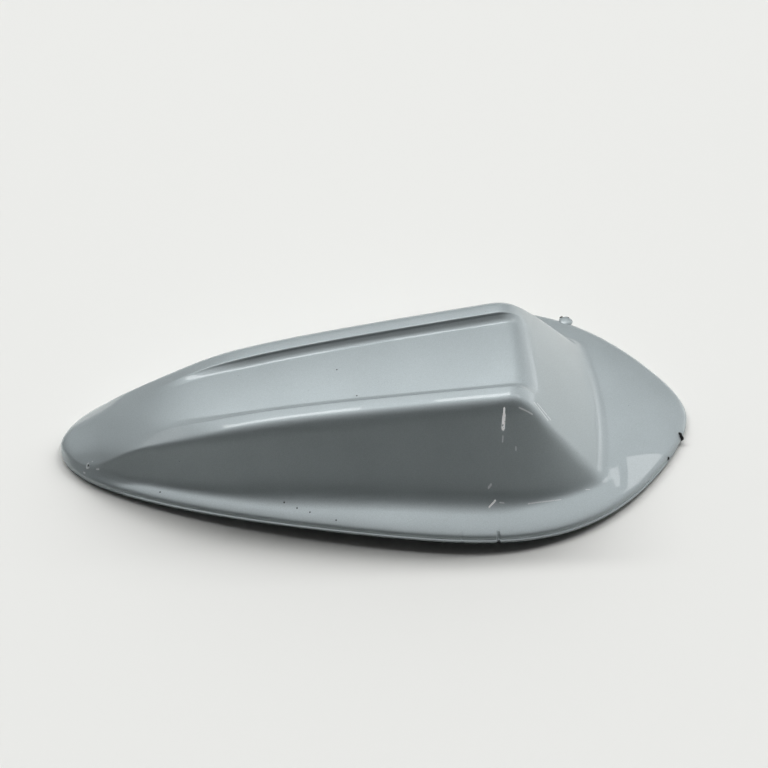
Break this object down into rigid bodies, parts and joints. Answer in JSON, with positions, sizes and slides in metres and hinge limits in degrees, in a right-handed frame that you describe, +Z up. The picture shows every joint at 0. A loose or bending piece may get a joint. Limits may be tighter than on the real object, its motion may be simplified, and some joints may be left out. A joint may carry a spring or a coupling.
{
  "type": "roof antenna",
  "caption": "Low wedge-shaped roof antenna for satellite positioning: a painted moulded cover with a recessed top panel over a cast base, circuit board and rubber roof seal.",
  "frame": {"origin": "middle of the length and width, on the level of the table that the rim's nose and tail stand on", "axes": "+X points from the nose to the tail along the length, +Y to the side that the picture shows far away, +Z up"},
  "size_m": [0.16, 0.0776, 0.0292],
  "materials": {
    "cover": "glossy light blue-grey car paint on moulded plastic",
    "base": "plain die casting",
    "roof_seal": "matt black",
    "board": "green glass-fibre board with solder mask",
    "patch": "pale fired ceramic with a silvered top",
    "patch_pad": "white foam tape",
    "feed_pin": "tinned",
    "shield_can": "tinned sheet",
    "amplifier": "black chip package",
    "filter": "gold-lidded ceramic package",
    "jack_shell": "gold flashed",
    "jack_insulator": "white",
    "jack_pin": "gold flashed",
    "jack_seal": "matt black",
    "ground_spring": "plain spring bronze",
    "board_screws": "zinc plated",
    "cover_screws": "zinc plated",
    "fixing_inserts": "plain turned",
    "vent_membrane": "white breathable film",
    "vent_ring": "black"
  },
  "bodies": {
    "root": {"cover": "cover", "base": "base", "roof_seal": "roof_seal", "board": "board", "patch": "patch", "patch_pad": "patch_pad", "feed_pin": "feed_pin", "shield_can": "shield_can", "amplifier": "amplifier", "filter": "filter", "jack_shell": "jack_shell", "jack_insulator": "jack_insulator", "jack_pin": "jack_pin", "jack_seal": "jack_seal", "ground_spring": "ground_spring", "board_screws": "board_screws", "cover_screws": "cover_screws", "fixing_inserts": "fixing_inserts", "vent_membrane": "vent_membrane", "vent_ring": "vent_ring"}
  },
  "joints": []
}
